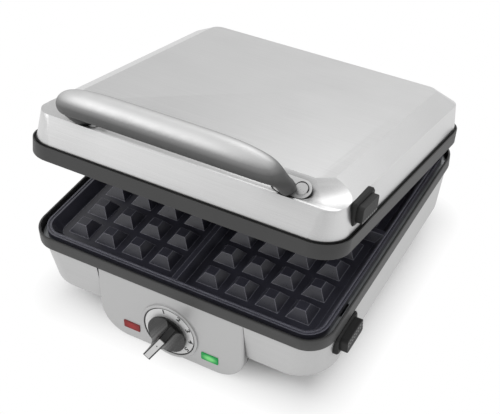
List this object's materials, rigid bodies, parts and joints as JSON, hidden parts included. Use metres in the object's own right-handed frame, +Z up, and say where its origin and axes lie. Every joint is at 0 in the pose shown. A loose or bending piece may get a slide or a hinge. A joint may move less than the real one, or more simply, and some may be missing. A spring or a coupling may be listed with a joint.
{
  "type": "waffle maker",
  "caption": "Square countertop waffle maker: steel clamshell on a rear hinge, deep-pocket plates, round dial, push-button plate releases and a bail handle.",
  "frame": {"origin": "centre of the rest plane under the feet, on the left-right centre line and under the centre of the lower plate", "axes": "+Z up, -Y towards the front with the dial and handle, +X towards the side with the release buttons"},
  "size_m": [0.2632, 0.3222, 0.2217],
  "materials": {
    "brushed_steel": "brushed, lightly satin",
    "nonstick_casting": "black non-stick coating",
    "dark_trim": "fine satin",
    "handle_chrome": "satin metal plating",
    "silver_lacquer": "satin silver lacquer",
    "black_gloss": "polished",
    "black_matte": "fine texture",
    "charcoal_button": "fine texture",
    "dial_silver": "satin anodised",
    "red_lens": "translucent moulded lens",
    "green_lens": "translucent moulded lens",
    "galvanised_steel": "galvanised",
    "heater_sheath": "heat-darkened",
    "rubber_black": "matt",
    "ceramic": "unglazed",
    "spring_steel": "drawn wire",
    "wire_insulation": "matt sleeving"
  },
  "bodies": {
    "base": {"base_shell": "brushed_steel", "base_trim": "dark_trim", "bottom_cover": "black_matte", "foot_pads": "rubber_black", "lower_plate": "nonstick_casting", "lower_heater_tray": "galvanised_steel", "lower_heater": "heater_sheath", "lower_heater_clips": "galvanised_steel", "lower_heater_terminals": "ceramic", "lower_plate_retainers": "galvanised_steel", "lower_tray_screws": "spring_steel", "cover_screws": "spring_steel", "cord_gland": "black_matte", "terminal_block": "ceramic", "lead_wires": "wire_insulation", "hinge_brackets": "galvanised_steel", "hinge_pins": "spring_steel", "bracket_screws": "spring_steel", "control_panel": "silver_lacquer", "control_box": "black_matte", "dial_ring": "dial_silver", "dial_rim": "silver_lacquer", "heating_lamp": "red_lens", "ready_lamp": "green_lens", "lamp_holders": "black_matte", "thermostat": "ceramic", "thermostat_bracket": "galvanised_steel", "thermostat_screws": "spring_steel", "lower_latch_bezel": "charcoal_button"},
    "knob_assembly": {"thermostat_shaft": "spring_steel", "knob": "black_gloss", "knob_inlay": "dial_silver"},
    "lower_release": {"lower_release_button": "charcoal_button", "lower_latch_hook": "galvanised_steel", "lower_latch_spring": "spring_steel"},
    "upper_release": {"upper_release_button": "charcoal_button", "upper_latch_hook": "galvanised_steel", "upper_latch_spring": "spring_steel"},
    "lid": {"lid_shell": "brushed_steel", "lid_trim": "dark_trim", "upper_plate": "nonstick_casting", "upper_heater_tray": "galvanised_steel", "upper_heater": "heater_sheath", "upper_heater_clips": "galvanised_steel", "upper_heater_terminals": "ceramic", "upper_plate_retainers": "galvanised_steel", "upper_tray_screws": "spring_steel", "lid_studs": "galvanised_steel", "upper_latch_bezel": "charcoal_button", "handle": "handle_chrome", "handle_caps": "dial_silver", "handle_screws": "spring_steel", "hinge_arms": "dark_trim"}
  },
  "joints": [
    {"name": "lid_hinge", "type": "hinge", "parent": "base", "child": "lid", "pos_m": [0, 0.1621, 0.063], "axis": [-1, 0, 0], "range_deg": [-13.75, 86]},
    {"name": "dial_turn", "type": "hinge", "parent": "base", "child": "knob_assembly", "pos_m": [0, -0.1284, 0.0272], "axis": [0, -0.9985, 0.0541], "range_deg": [-108, 62]},
    {"name": "lower_button_press", "type": "slide", "parent": "base", "child": "lower_release", "axis": [-1, 0, 0], "range_m": [0, 0.003], "stiffness_N_per_m": 600, "springref_m": -0.003, "deforming": ["lower_latch_spring"]},
    {"name": "upper_button_press", "type": "slide", "parent": "lid", "child": "upper_release", "axis": [-1, 0, 0], "range_m": [0, 0.003], "stiffness_N_per_m": 600, "springref_m": -0.003, "deforming": ["upper_latch_spring"]}
  ]
}
